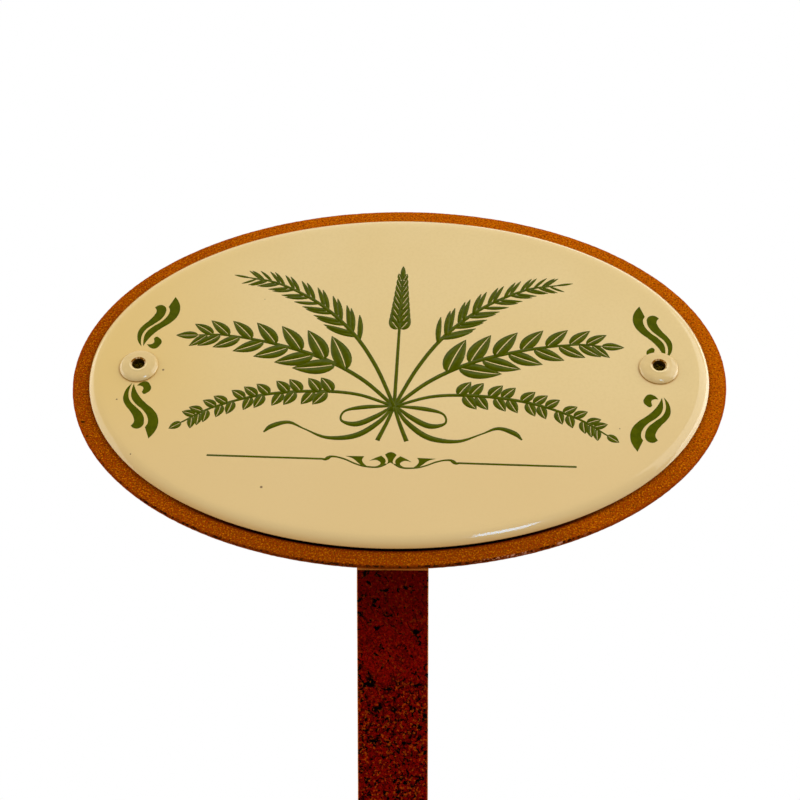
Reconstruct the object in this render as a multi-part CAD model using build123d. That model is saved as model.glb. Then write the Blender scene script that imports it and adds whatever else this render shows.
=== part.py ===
from build123d import *
from math import cos, radians, sin, tan
import os

# Plant label stake: an oval enamelled sign, riveted to a rusted steel plate that is
# welded to the bent top of a flat bar. Lengths are in millimetres, angles in degrees.
# +Z is up along the stake, -Y is the front, and the origin is the stake's point.

# Enamelled sign
sign_length = 150.0
sign_height = 99.0
sign_thickness = 1.1
rim_width = 3.1
rim_roll_angle = 52.0
rim_steps = 4
sign_edge_bevel = 0.2

# Backing plate
plate_margin = 4.2
plate_thickness = 1.2
plate_edge_bevel = 0.2

# Blind rivets
rivet_inset = 12.2
shank_diameter = 4.8
hole_clearance = 0.1
bore_diameter = 2.8
head_diameter = 9.4
head_height = 1.6
head_lip = 0.35
dome_sagitta = 0.35
mouth_bevel = 0.5
bulb_diameter = 7.4
bulb_length = 5.2
bulb_shoulder = 1.2
socket_depth = 1.4
socket_wall = 0.5

# Broken mandrels in the rivets
mandrel_clearance = 0.05
mandrel_head_diameter = 4.2
mandrel_dome = 1.0
mandrel_recess = 0.8
break_height = 0.3

# Stake
bar_width = 16.0
bar_thickness = 2.0
bar_edge_round = 0.3
bend_inner_radius = 0.6
lean_angle = 45.0
stake_length = 300.0
leg_length = 68.0
plate_overhang = 2.2
point_length = 30.0
nose_width = 3.5
nose_round = 1.4

# Weld beads beside the bar's leg
weld_size = 1.8
weld_length = 16.0
ripple_pitch = 3.2
ripple_height = 0.25
lower_weld_gap = 9.0
upper_weld_gap = 6.0

# Cuts run past the metal by this much
overrun = 1.0

# Sizes that follow from the ones above
lean = radians(lean_angle)
roll_radius = rim_width / sin(radians(rim_roll_angle))
sign_edge_height = sign_thickness * cos(radians(rim_roll_angle))
sign_rise = roll_radius * (1 - cos(radians(rim_roll_angle))) + sign_edge_height
sign_face = plate_thickness + sign_rise
plate_length = sign_length + 2 * plate_margin
plate_height = sign_height + 2 * plate_margin
rivet_x = sign_length / 2 - rivet_inset
sides = {"left": -1, "right": 1}
hole_radius = shank_diameter / 2 + hole_clearance
head_top = sign_face + head_height
pin_radius = bore_diameter / 2 - mandrel_clearance
socket_radius = mandrel_head_diameter / 2 + mandrel_clearance
socket_floor = socket_depth - bulb_length
bend_radius = bend_inner_radius + bar_thickness / 2
bend_outer_radius = bend_inner_radius + bar_thickness
leg_bottom = plate_overhang - plate_height / 2
weld_root = weld_size - ripple_height

# The plate's frame: x to the right, y up the plate and z out of its front, with
# the oval's centre on the plate's back at the origin and the bar's leg under it
leg_start_y = bend_radius - bend_outer_radius * cos(lean)
leg_start_z = stake_length + bend_outer_radius * sin(lean)
plate_frame = Plane(
    origin=(0, leg_start_y - leg_bottom * sin(lean), leg_start_z - leg_bottom * cos(lean)),
    x_dir=(1, 0, 0),
    z_dir=(0, -cos(lean), sin(lean)),
)


def oval(length, height, level):
    """An elliptical face at a height over the back of the plate."""
    return Pos(0, 0, level) * Ellipse(length / 2, height / 2)


def rivet_holes(depth):
    """Cylinders that cut a sheet for the two rivets."""
    return [Pos(side * rivet_x, 0, 0) * Cylinder(hole_radius, depth) for side in sides.values()]


def sign_section(roll, inset):
    """The oval at which the sign's rim has rolled by an angle, inset into the sheet."""
    radius = roll_radius - inset
    narrowing = 2 * (rim_width - radius * sin(radians(roll)))
    level = sign_face - roll_radius + radius * cos(radians(roll))
    return oval(sign_length - narrowing, sign_height - narrowing, level)


def sign_form(inset):
    """The solid under one face of the sign's sheet: flat, with a rim rolled in small steps."""
    rolls = [rim_roll_angle * (rim_steps - step) / rim_steps for step in range(rim_steps + 1)]
    return loft([sign_section(roll, inset) for roll in rolls], ruled=True)


def make_sign_plate():
    """Pressed sheet of even thickness whose rolled edge rests on the backing plate."""
    inner_edge = sign_section(rim_roll_angle, sign_thickness)
    outer_edge = sign_section(rim_roll_angle, 0)
    edge_wall = loft([inner_edge, outer_edge], ruled=True)
    sheet = edge_wall + sign_form(0) - sign_form(sign_thickness)
    edge_level = plate_thickness + sign_edge_height
    outline = sheet.edges().filter_by(Plane.XY).sort_by(lambda edge: abs(edge.center().Z - edge_level))[0]
    sheet = chamfer(outline, sign_edge_bevel)
    return sheet - rivet_holes(2 * (sign_face + overrun))


def make_backing_plate():
    """Flat oval of steel with bevelled edges and two rivet holes."""
    plate = extrude(oval(plate_length, plate_height, 0), plate_thickness)
    plate = chamfer(plate.edges(), plate_edge_bevel)
    return plate - rivet_holes(2 * (plate_thickness + overrun))


def make_rivet_body():
    """A set blind rivet: domed head, shank through both sheets and swollen blind end."""
    bore = bore_diameter / 2
    shank = shank_diameter / 2
    head = head_diameter / 2
    bulb = bulb_diameter / 2
    tail = socket_radius + socket_wall
    lip_top = (head, sign_face + head_lip)
    mouth_top = (bore + mouth_bevel, head_top)
    outline = SagittaArc(mouth_top, lip_top, dome_sagitta)
    outline += Polyline(
        lip_top,
        (head, sign_face),
        (shank, sign_face),
        (shank, 0),
        (bulb, -bulb_shoulder),
        (bulb, bulb_shoulder - bulb_length),
        (tail, -bulb_length),
        (socket_radius, -bulb_length),
        (socket_radius, socket_floor),
        (bore, socket_floor),
        (bore, head_top - mouth_bevel),
        mouth_top,
    )
    return revolve(Plane.XZ * make_face(outline), Axis.Z)


def make_mandrel():
    """The pin left in a blind rivet: a broken end in the head, its own head in the bulb."""
    head = mandrel_head_diameter / 2
    head_start = socket_floor - mandrel_clearance
    broken_end = head_top - mandrel_recess
    dome_end = (0, -bulb_length - mandrel_dome)
    outline = Polyline(
        dome_end,
        (0, broken_end),
        (pin_radius, broken_end - break_height),
        (pin_radius, head_start),
        (head, head_start),
        (head, -bulb_length),
    )
    outline += RadiusArc((head, -bulb_length), dome_end, (head**2 + mandrel_dome**2) / (2 * mandrel_dome))
    return revolve(Plane.XZ * make_face(outline), Axis.Z)


def make_stake():
    """Flat bar with rounded arrises, bent over at the top and cut to a point."""
    bend_corner = stake_length + bend_radius * tan(lean / 2)
    leg_reach = bend_radius * tan(lean / 2) + leg_length
    leg_end = (leg_reach * sin(lean), bend_corner + leg_reach * cos(lean))
    path = Plane.YZ * FilletPolyline((0, 0), (0, bend_corner), leg_end, radius=bend_radius)
    bar = sweep(RectangleRounded(bar_width, bar_thickness, bar_edge_round), path)
    half = bar_width / 2
    nose = nose_width / 2
    point = make_face(
        Polyline((-half, point_length), (-nose, 0), (nose, 0), (half, point_length), close=True)
    )
    point = fillet(point.vertices().group_by(Axis.Y)[0], nose_round)
    waste = Pos(0, (point_length - overrun) / 2) * Rectangle(
        bar_width + 2 * overrun, point_length + overrun
    )
    return bar - extrude(Plane.XZ * (waste - point), bar_thickness, both=True)


def make_weld():
    """A bead with a quarter-round section that swells and dips in ripples along y."""
    ripples = max(1, round(weld_length / ripple_pitch))
    pitch = weld_length / ripples
    bead_end = weld_root + weld_length
    outline = CenterArc((0, weld_root), weld_root, 270, 90)
    for ripple in range(ripples):
        start = weld_root + ripple * pitch
        crest = (weld_size, start + pitch / 2)
        outline += ThreePointArc((weld_root, start), crest, (weld_root, start + pitch))
    outline += CenterArc((0, bead_end), weld_root, 0, 90)
    outline += Line((0, bead_end + weld_root), (0, 0))
    return revolve(make_face(outline), Axis.Y, revolution_arc=90)


# Every piece in the plate's frame, by the name of its node
rivet_body = make_rivet_body()
mandrel = make_mandrel()
weld = make_weld()
weld_starts = {
    "lower": leg_bottom + lower_weld_gap,
    "upper": leg_bottom + leg_length - upper_weld_gap - weld_length - 2 * weld_root,
}
on_plate = {"sign_plate": make_sign_plate(), "backing_plate": make_backing_plate()}
for name, side in sides.items():
    on_plate[f"rivet_body_{name}"] = Pos(side * rivet_x, 0, 0) * rivet_body
    on_plate[f"rivet_mandrel_{name}"] = Pos(side * rivet_x, 0, 0) * mandrel
    for row, start in weld_starts.items():
        bead = Pos(bar_width / 2, start, 0) * weld
        on_plate[f"weld_{row}_{name}"] = bead if side > 0 else mirror(bead, Plane.YZ)

nodes = {name: plate_frame * shape for name, shape in on_plate.items()}
nodes["stake"] = make_stake()

os.makedirs("parts", exist_ok=True)
for name, shape in nodes.items():
    export_step(shape, f"parts/{name}.step")
    size = shape.bounding_box().size
    print(f"{name}: {shape.volume:.1f} mm3, {size.X:.1f} x {size.Y:.1f} x {size.Z:.1f} mm")
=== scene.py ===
# %% [markdown]
# An enamelled plant label on a garden stake. An oval sheet of cream enamelled steel is riveted to a
# slightly larger oval of rusted plate, which leans back on the bent top of a flat bar. The measured
# solids are loaded first and stay as they are. Every piece below is modelled in the same place, with
# the finer form and the finish that a measured solid lacks, and then stands in for its solid.

from math import cos, hypot, pi, radians, sin, sqrt, tan

import bmesh
import bpy
from mathutils import Matrix, Vector


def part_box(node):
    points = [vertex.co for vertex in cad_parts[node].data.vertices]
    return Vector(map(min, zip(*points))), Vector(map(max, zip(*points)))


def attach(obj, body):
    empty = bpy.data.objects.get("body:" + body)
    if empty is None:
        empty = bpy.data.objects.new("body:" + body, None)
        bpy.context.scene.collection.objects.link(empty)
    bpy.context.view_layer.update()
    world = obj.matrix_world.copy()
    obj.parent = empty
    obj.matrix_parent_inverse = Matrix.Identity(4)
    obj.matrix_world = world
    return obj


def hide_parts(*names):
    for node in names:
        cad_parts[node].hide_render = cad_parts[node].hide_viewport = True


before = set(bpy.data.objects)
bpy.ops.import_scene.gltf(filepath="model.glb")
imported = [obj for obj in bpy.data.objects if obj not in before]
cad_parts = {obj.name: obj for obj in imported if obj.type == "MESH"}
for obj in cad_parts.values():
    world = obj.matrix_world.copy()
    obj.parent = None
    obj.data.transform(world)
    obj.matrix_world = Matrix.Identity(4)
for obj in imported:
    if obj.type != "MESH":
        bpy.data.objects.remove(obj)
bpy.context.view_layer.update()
MM = 0.001
print("solids:", sorted(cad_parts))

# %% [markdown]
# Photographs of products keep their colours when the scene's colour handling is the plain one. The
# Standard view shows a colour as it is written, so a finish can be judged against the photograph.

# %% Plain colour handling
scene = bpy.context.scene
scene.view_settings.view_transform = "Standard"


def paint(red, green, blue):
    """A colour given as a screen shows it, 0 to 255, turned into the light that it stands for."""
    shares = [value / 255 for value in (red, green, blue)]
    light = [s / 12.92 if s <= 0.04045 else ((s + 0.055) / 1.055) ** 2.4 for s in shares]
    return (*light, 1.0)


# %% [markdown]
# The camera stands where the photographer's stood: a third of a metre away, a centimetre above the
# sign's upper edge and a centimetre to the right of its middle, looking slightly down. Its place could
# be found by eye, but the oval's outline, the rivets and the bar's edges in the photograph are enough
# to work it out, and that is what was done.

# %% The photographer's camera
camera_place = Vector((10.58, -301.42, 385.97)) * MM
camera_azimuth = radians(-1.703)
camera_elevation = radians(9.029)
sensor_width = 36
focal_length = 63
bpy.ops.object.camera_add()
camera = bpy.context.object
camera.data.sensor_width = sensor_width
camera.data.lens = focal_length
camera.matrix_world = (
    Matrix.Translation(camera_place)
    @ Matrix.Rotation(-camera_azimuth, 4, "Z")
    @ Matrix.Rotation(pi / 2 - camera_elevation, 4, "X")
)
scene.camera = camera
print("camera lens", focal_length, "mm")

# %% [markdown]
# Sign, plate and rivets share one leaning frame: x to the right, y up the plate and z out of its
# front, with the middle of the plate's back as its origin. Modelling them flat and in millimetres is
# easier than modelling at an angle, so each piece is made there, and its place goes into its mesh
# only when it is finished.

# %% The leaning frame
lean = radians(45)
plate_thickness = 1.2
plate_low, plate_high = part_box("backing_plate")
plate_normal = Vector((0, -sin(lean), cos(lean)))
plate_origin = (plate_low + plate_high) / 2 - plate_normal * plate_thickness / 2 * MM
plate_frame = Matrix.Translation(plate_origin) @ Matrix.Rotation(lean, 4, "X")
upright = Matrix.Identity(4)


def pick(*pieces):
    """Only these objects are selected, and the last one is active."""
    bpy.ops.object.select_all(action="DESELECT")
    for piece in pieces:
        piece.select_set(True)
    bpy.context.view_layer.objects.active = pieces[-1]


def settle(piece, place=plate_frame):
    """Moves a piece modelled in millimetres to its place, which goes into its mesh."""
    pick(piece)
    piece.matrix_world = place @ Matrix.Scale(MM, 4)
    bpy.ops.object.transform_apply(location=True, rotation=True, scale=True)


def spread(node, place=plate_frame):
    """A solid's extent in a frame, in millimetres, to set a new piece against."""
    flat = place.inverted()
    points = [flat @ corner.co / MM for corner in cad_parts[node].data.vertices]
    low = [round(min(point[axis] for point in points), 2) for axis in range(3)]
    high = [round(max(point[axis] for point in points), 2) for axis in range(3)]
    return low, high


print("plate in its own frame:", *spread("backing_plate"))

# %% [markdown]
# An operator acts on all that is selected, and loading leaves the solids selected. So a primitive is
# added with nothing else selected. A piece goes into edit mode with all of it selected, and comes out
# with its faces turned outwards.

# %% A new piece, and in and out of edit mode
def new_piece(add, name, **settings):
    """Adds a primitive with nothing else selected, and names it."""
    bpy.ops.object.select_all(action="DESELECT")
    add(**settings)
    piece = bpy.context.object
    piece.name = piece.data.name = name
    return piece


def start_edit():
    """Goes into edit mode with everything selected."""
    bpy.ops.object.mode_set(mode="EDIT")
    bpy.ops.mesh.select_all(action="SELECT")


def end_edit():
    """Turns every face outwards and leaves edit mode."""
    bpy.ops.mesh.select_all(action="SELECT")
    bpy.ops.mesh.normals_make_consistent(inside=False)
    bpy.ops.object.mode_set(mode="OBJECT")


# %% [markdown]
# Most pieces here are round or oval, and their section is what gives them their character. Such a
# form can be spun from a profile, but an oval can't, so both kinds are built as a stack of rings:
# a circle is stretched to the first ring, and its edge is extruded, moved and resized ring by ring.

# %% A stack of rings
same_place = 0.0005


def rings_to_mesh(name, rings, corners, ends="capped"):
    """A closed or open form from rings given as (half length, half height, level).

    Its ends are "capped" by flat faces, "joined" to each other, or the last one is a "lid"."""
    piece = new_piece(bpy.ops.mesh.primitive_circle_add, name, vertices=corners, radius=1)
    start_edit()
    length, height, level = rings[0]
    bpy.ops.transform.resize(value=(length, height, 1), center_override=(0, 0, 0))
    bpy.ops.transform.translate(value=(0, 0, level))
    for next_length, next_height, next_level in rings[1:]:
        rise = (0, 0, next_level - level)
        bpy.ops.mesh.extrude_region_move(TRANSFORM_OT_translate={"value": rise})
        growth = (next_length / length, next_height / height, 1)
        bpy.ops.transform.resize(value=growth, center_override=(0, 0, next_level))
        length, height, level = next_length, next_height, next_level
    if ends == "lid":
        bpy.ops.mesh.edge_face_add()
    bpy.ops.mesh.select_all(action="SELECT")
    if ends == "joined":
        bpy.ops.mesh.remove_doubles(threshold=same_place)
    if ends == "capped":
        bpy.ops.mesh.fill_holes(sides=0)
    end_edit()
    return piece


def arc(centre, radius, start, end, steps):
    """Points (across, level) on a round stretch of a section, with its angles in degrees."""
    angles = [radians(start + (end - start) * step / steps) for step in range(steps + 1)]
    return [(centre[0] + radius * cos(angle), centre[1] + radius * sin(angle)) for angle in angles]


# %% [markdown]
# A modelled piece is finished with modifiers, which are applied at once so that the mesh itself
# holds the form. Holes are cut by a boolean with a plain cylinder, as a punch would cut them, and the
# ragged bite of rust is a displacement by a cloud pattern that only ever takes metal away.

# %% Modifiers, holes and rust bites
def modify(piece, kind, **settings):
    """Adds a modifier with its settings and applies it."""
    pick(piece)
    modifier = piece.modifiers.new(kind.title(), kind)
    for key, value in settings.items():
        setattr(modifier, key, value)
    bpy.ops.object.modifier_apply(modifier=modifier.name)


def choose(piece, kind, test):
    """In edit mode, selects the edges or faces that pass a test."""
    bpy.ops.mesh.select_all(action="DESELECT")
    bpy.ops.mesh.select_mode(type={"edges": "EDGE", "faces": "FACE"}[kind])
    mesh = bmesh.from_edit_mesh(piece.data)
    for part in getattr(mesh, kind):
        if test(part):
            part.select_set(True)
    bmesh.update_edit_mesh(piece.data)


def rust_bites(piece, depth, size, where=None):
    """Eats into a surface by up to a depth, in patches of a size, where a corner's place passes."""
    clouds = bpy.data.textures.new(piece.name + "_bites", "CLOUDS")
    clouds.noise_scale = size
    clouds.noise_depth = 3
    settings = {"texture": clouds, "strength": depth, "mid_level": 1.0}
    if where:
        group = piece.vertex_groups.new(name="bitten")
        bitten = [corner.index for corner in piece.data.vertices if where(corner.co)]
        group.add(bitten, 1.0, "REPLACE")
        settings["vertex_group"] = group.name
    modify(piece, "DISPLACE", **settings)


def smooth(piece, angle=35):
    """Smooth shading over everything but the arrises."""
    pick(piece)
    bpy.ops.object.shade_smooth_by_angle(angle=radians(angle))


def hand_over(piece, node, finish_slot, *finishes):
    """Gives a finished piece its materials and body, and lets it stand for its solid; finish_slot is not
    used.
    """
    while len(piece.data.materials) < len(finishes):
        piece.data.materials.append(None)
    for slot, finish in enumerate(finishes):
        piece.data.materials[slot] = finish
    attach(piece, "root")
    if node:
        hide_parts(node)
    print(piece.name, "has", len(piece.data.polygons), "faces")


# %% [markdown]
# The two rivets pass through both ovals on their long axis, 12.2 mm in from the sign's ends. Their
# holes are needed in sign and plate alike, so one function punches both sheets.

# %% Where the rivets go
sign_length = 150.0
sign_height = 99.0
rivet_inset = 12.2
rivet_x = sign_length / 2 - rivet_inset
hole_radius = 2.5
hole_corners = 48
punch_length = 20
sides = {"left": -1, "right": 1}
rivet_frames = {
    name: plate_frame @ Matrix.Translation((side * rivet_x * MM, 0, 0)) for name, side in sides.items()
}


def punch(sheet):
    """Cuts the two rivet holes through a sheet."""
    for side in sides.values():
        cutter = new_piece(
            bpy.ops.mesh.primitive_cylinder_add, "punch", vertices=hole_corners, radius=hole_radius,
            depth=punch_length, location=(side * rivet_x, 0, 0),
        )
        modify(sheet, "BOOLEAN", operation="DIFFERENCE", solver="EXACT", object=cutter)
        bpy.data.objects.remove(cutter)


# %% [markdown]
# The sign is one pressed steel sheet, flat in the middle, with a rim that rolls back through 52
# degrees so that its edge rests on the plate. The rings follow that roll from the outer edge up to
# the flat face. Solidify then gives the sheet its even wall on the inside, and a bevel rounds the
# edge as melted enamel does.

# %% The enamelled sheet
sign_thickness = 1.1
rim_width = 3.1
rim_roll = 52
roll_steps = 14
melted_edge = 0.3
pooled_glass = 0.025
pool_section = ((0.25, 0.6), (0.5, 1.0), (1.0, 0.9), (2.2, 0.3), (3.5, 0.0), (4.5, 0.0))
sign_corners = 640
roll_radius = rim_width / sin(radians(rim_roll))
roll_rise = roll_radius * (1 - cos(radians(rim_roll)))
sign_face = plate_thickness + roll_rise + sign_thickness * cos(radians(rim_roll))


def make_sign():
    """The rolled sheet, where the glass pools a little inside the rim, with its edge and holes."""
    rings = []
    for step in range(roll_steps + 1):
        roll = radians(rim_roll * (roll_steps - step) / roll_steps)
        inset = rim_width - roll_radius * sin(roll)
        level = sign_face - roll_radius * (1 - cos(roll))
        rings.append((sign_length / 2 - inset, sign_height / 2 - inset, level))
    length, height, level = rings[-1]
    for inset, pool in pool_section:
        rings.append((length - inset, height - inset, level + pool * pooled_glass))
    sheet = rings_to_mesh("enamel_sign", rings, sign_corners, ends="lid")
    lid = max(sheet.data.polygons, key=lambda face: face.area)
    if lid.normal.z < 0:
        sheet.data.flip_normals()
    sheet.data.materials.append(None)
    sheet.data.materials.append(None)
    modify(
        sheet, "SOLIDIFY", thickness=sign_thickness, offset=-1, use_even_offset=True,
        material_offset=1, material_offset_rim=1,
    )
    modify(sheet, "BEVEL", width=melted_edge, segments=4, limit_method="ANGLE", angle_limit=radians(60))
    punch(sheet)
    smooth(sheet)
    settle(sheet)
    return sheet


sign = make_sign()
print("sign", *spread("sign_plate"), "face at", round(sign_face, 3))

# %% [markdown]
# Behind the sign lies a flat oval of steel, a little larger all round, cut by a plasma or laser beam
# and left to rust. Its edge is what shows of its thickness: softened arrises, with small bites where
# flakes came off. Those bites break the outline, so they are displaced in the mesh. The flat faces
# keep their level, and their grain is left to the material.

# %% The backing plate
plate_margin = 4.2
plate_round = 0.25
bite_depth = 0.14
bite_size = 0.9
plate_corners = 1024
round_steps = 3


def make_plate():
    """The oval plate with softened, bitten edges and its two holes."""
    length = sign_length / 2 + plate_margin
    height = sign_height / 2 + plate_margin
    lower = arc((-plate_round, plate_round), plate_round, -90, 0, round_steps)
    upper = arc((-plate_round, plate_thickness - plate_round), plate_round, 0, 90, round_steps)
    flats = (6 * plate_round, 3 * plate_round)
    section = [(-flat, 0) for flat in flats] + lower + upper
    section += [(-flat, plate_thickness) for flat in reversed(flats)]
    rings = [(length + across, height + across, level) for across, level in section]
    plate = rings_to_mesh("rust_plate", rings, plate_corners)
    punch(plate)
    inner_length, inner_height = length - 2 * plate_round, height - 2 * plate_round

    def outer(place):
        return hypot(place.x / inner_length, place.y / inner_height) > 1

    rust_bites(plate, bite_depth, bite_size, outer)
    smooth(plate)
    settle(plate)
    return plate


plate = make_plate()
print("plate", *spread("backing_plate"))

# %% [markdown]
# The stake is flat bar, 16 mm by 2 mm, cut to a point at the bottom and bent back at the top. The
# bar's section is drawn as a plate with rounded corners and extruded up, spun through the bend and
# extruded again up the back of the plate. The point is two cuts, as a saw would make them, with a
# rounded nose. Hot-rolled bar rusts in shallow scabs, so the whole length is bitten a little.

# %% The bar's sizes, and two steps of its making
bar_width = 16.0
bar_thickness = 2.0
bar_round = 0.3
bend_inner_radius = 0.6
bend_radius = bend_inner_radius + bar_thickness / 2
bend_steps = 8
bend_start = 300.0
leg_length = 68.0
point_length = 30.0
nose_width = 3.5
nose_round = 1.4
scab_depth = 0.07
scab_size = 1.3
ring_pitch = 1.25


def raise_by(way):
    """In edit mode, extrudes what is selected along a vector."""
    bpy.ops.mesh.extrude_region_move(TRANSFORM_OT_translate={"value": way})


def divide_runs(piece, along, longest):
    """In edit mode, cuts the edges that run along a direction into even short ones."""
    direction = along.normalized()

    def runs(edge):
        way = edge.verts[1].co - edge.verts[0].co
        return way.length > 2 * longest and abs(way.normalized() @ direction) > 0.999

    mesh = bmesh.from_edit_mesh(piece.data)
    lengths = sorted({round(edge.calc_length(), 2) for edge in mesh.edges if runs(edge)})
    for length in lengths:
        choose(piece, "edges", lambda edge: runs(edge) and abs(edge.calc_length() - length) < 0.02)
        bpy.ops.mesh.subdivide(number_cuts=round(length / longest))


# %% [markdown]
# The bar is one extrusion: up the stake, round the bend and up the leg. Its long runs are then cut
# into short ones, so that the bites of rust have corners to move, and the point is cut last.

# %% The bar stake
def make_bar():
    """The bent and pointed bar, divided finely enough for its scabs of rust."""
    bar = new_piece(bpy.ops.mesh.primitive_plane_add, "stake_bar", size=1)
    start_edit()
    bpy.ops.transform.resize(value=(bar_width, bar_thickness, 1))
    bpy.ops.mesh.bevel(offset=bar_round, segments=round_steps, affect="VERTICES")
    bpy.ops.mesh.select_all(action="SELECT")
    raise_by((0, 0, point_length))
    raise_by((0, 0, bend_start - point_length))
    bpy.ops.mesh.spin(steps=bend_steps, angle=lean, center=(0, bend_radius, bend_start), axis=(1, 0, 0))
    up_the_leg = Vector((0, sin(lean), cos(lean)))
    raise_by(leg_length * up_the_leg)
    for way in (Vector((1, 0, 0)), Vector((0, 0, 1)), up_the_leg):
        divide_runs(bar, way, ring_pitch)
    half, nose = bar_width / 2, nose_width / 2
    for side in sides.values():
        bpy.ops.mesh.select_all(action="SELECT")
        outwards = Vector((side * point_length, 0, nose - half)).normalized()
        corner = (side * half, 0, point_length)
        bpy.ops.mesh.bisect(plane_co=corner, plane_no=outwards, use_fill=True, clear_outer=True)

    def nose_corner(edge):
        ends = [end.co for end in edge.verts]
        low = max(end.z for end in ends) < 0.01
        return low and abs(ends[0].x - ends[1].x) < 0.01 and abs(abs(ends[0].x) - nose) < 0.05

    choose(bar, "edges", nose_corner)
    turn = pi / 2 - (half - nose) / point_length
    bpy.ops.mesh.bevel(offset=nose_round * tan(turn / 2), segments=5)
    end_edit()
    rust_bites(bar, scab_depth, scab_size)
    smooth(bar)
    settle(bar, upright)
    return bar


bar = make_bar()
print("bar", *spread("stake", upright))

# %% [markdown]
# A blind rivet is a soft tube with a domed flange in front. The pin inside is pulled until it swells
# the tube behind the sheets, and then snaps. The flange's hole keeps a rounded, slightly chipped
# mouth. Its whole section, front and back, goes round as one closed stack of rings.

# %% Rivet bodies
shank_radius = 2.4
bore_radius = 1.4
head_radius = 4.7
head_height = 1.36
head_mouth = [(1.4, 0.8), (1.46, 1.0), (1.5, 1.1), (1.6, 1.19), (1.75, 1.28), (1.88, 1.33), (2.0, 1.35)]
head_dome = [
    (2.15, 1.31), (2.3, 1.25), (2.5, 1.2), (2.8, 1.17), (3.2, 1.12), (3.6, 1.03), (3.95, 0.92), (4.2, 0.79),
    (4.42, 0.62), (4.58, 0.44), (4.67, 0.29), (4.7, 0.17), (4.66, 0.06), (4.58, 0),
]
bulb_radius = 3.7
bulb_length = 5.2
bulb_steps = 12
socket_depth = 1.4
socket_radius = 2.15
tail_radius = 2.65
rivet_corners = 96
head_top = sign_face + head_height


def make_rivet_body(name):
    """One set rivet body round its own axis, moved to its end of the sign."""
    section = [(bore_radius, socket_depth - bulb_length)]
    section += [(radius, sign_face + rise) for radius, rise in head_mouth + head_dome]
    section += [(shank_radius, sign_face), (shank_radius, 0)]
    for step in range(1, bulb_steps):
        share = step / bulb_steps
        straight = shank_radius + (tail_radius - shank_radius) * share
        swell = bulb_radius - (shank_radius + tail_radius) / 2
        section.append((straight + swell * sqrt(sin(pi * share)), -bulb_length * share))
    section += [(tail_radius, -bulb_length), (socket_radius, -bulb_length)]
    section += [(socket_radius, socket_depth - bulb_length), section[0]]
    rings = [(radius, radius, level) for radius, level in section]
    body = rings_to_mesh("rivet_head_" + name, rings, rivet_corners, "joined")
    smooth(body, 50)
    settle(body, rivet_frames[name])
    return body


rivet_bodies = {name: make_rivet_body(name) for name in sides}
print("rivet", *spread("rivet_body_left"))

# %% [markdown]
# What is left of the pin fills the rivet's bore. Its front end is torn, not cut: a rough, slightly
# domed break nearly a millimetre below the mouth. Its own head, which did the pulling, sits in the
# swollen end behind the plate. The break's rings step down from its middle and are displaced.

# %% Rivet pins
pin_radius = 1.35
pin_head_radius = 2.1
pin_recess = 0.75
pin_gap = 0.05
pin_dome = 1.0
break_height = 0.3
break_rough = 0.3
break_grain = 0.5
break_section = ((0.15, 1.0), (0.45, 1.0), (0.8, 0.8), (1.1, 0.5), (pin_radius, 0.0))
stem_rings = (0.4, 0.8)
dome_angles = (0.4, 0.8, 1.2, 1.5)
pin_corners = 48


def make_pin(name):
    """The broken pin of one rivet, from its torn end to the dome of its head."""
    socket_floor = socket_depth - bulb_length - pin_gap
    torn = head_top - pin_recess - break_height
    section = [(radius, torn + rise * break_height) for radius, rise in break_section]
    section += [(pin_radius, torn - below) for below in stem_rings]
    section += [(pin_radius, socket_floor), (pin_head_radius, socket_floor), (pin_head_radius, -bulb_length)]
    section += [(pin_head_radius * cos(a), -bulb_length - pin_dome * sin(a)) for a in dome_angles]
    rings = [(radius, radius, level) for radius, level in section]
    pin = rings_to_mesh("rivet_pin_" + name, rings, pin_corners)
    rust_bites(pin, break_rough, break_grain, lambda place: place.z > torn - 0.1)
    smooth(pin)
    settle(pin, rivet_frames[name])
    return pin


pins = {name: make_pin(name) for name in sides}
print("pin", *spread("rivet_mandrel_left"))

# %% [markdown]
# Four short welds hold the bar's leg to the back of the plate, in the corner beside it. A hand-laid
# bead is a row of overlapping puddles, so its section swells and dips. A quarter disc is extruded
# along the corner in small steps and resized about the corner at each, and its outer arc trails
# behind the rest, which bows the ripples. One bead is modelled, and the others are its copies.

# %% The size of a bead along its length
weld_size = 1.8
weld_ripple = 0.22
weld_pitch = 1.45
ripple_steps = 5
ripple_bow = 0.45
bow_margin = 2
bow_core = 0.5
bead_length = 19.1
bead_corners = 40
blunt_end = 0.25
lower_gap = 9.0
upper_gap = 6.0
plate_overhang = 2.2
weld_root = weld_size - weld_ripple
leg_bottom = plate_overhang - (sign_height / 2 + plate_margin)
weld_starts = {"lower": leg_bottom + lower_gap, "upper": leg_bottom + leg_length - upper_gap - bead_length}


def bead_radius(along):
    """The bead's size at a place along it, rounded at its ends and rippled between."""
    end = min(along, bead_length - along)
    cap = min(1.0, sqrt(max(0.0, 1 - (1 - min(end, weld_root) / weld_root) ** 2)))
    ripple = weld_ripple * (1 - abs(2 * ((along / weld_pitch) % 1) - 1) ** 2)
    return max(blunt_end, cap * (weld_root + ripple))


# %% [markdown]
# Two cuts leave a quarter of a disc, which is the bead's section. It is extruded along the corner and
# resized about it at each step.

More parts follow.
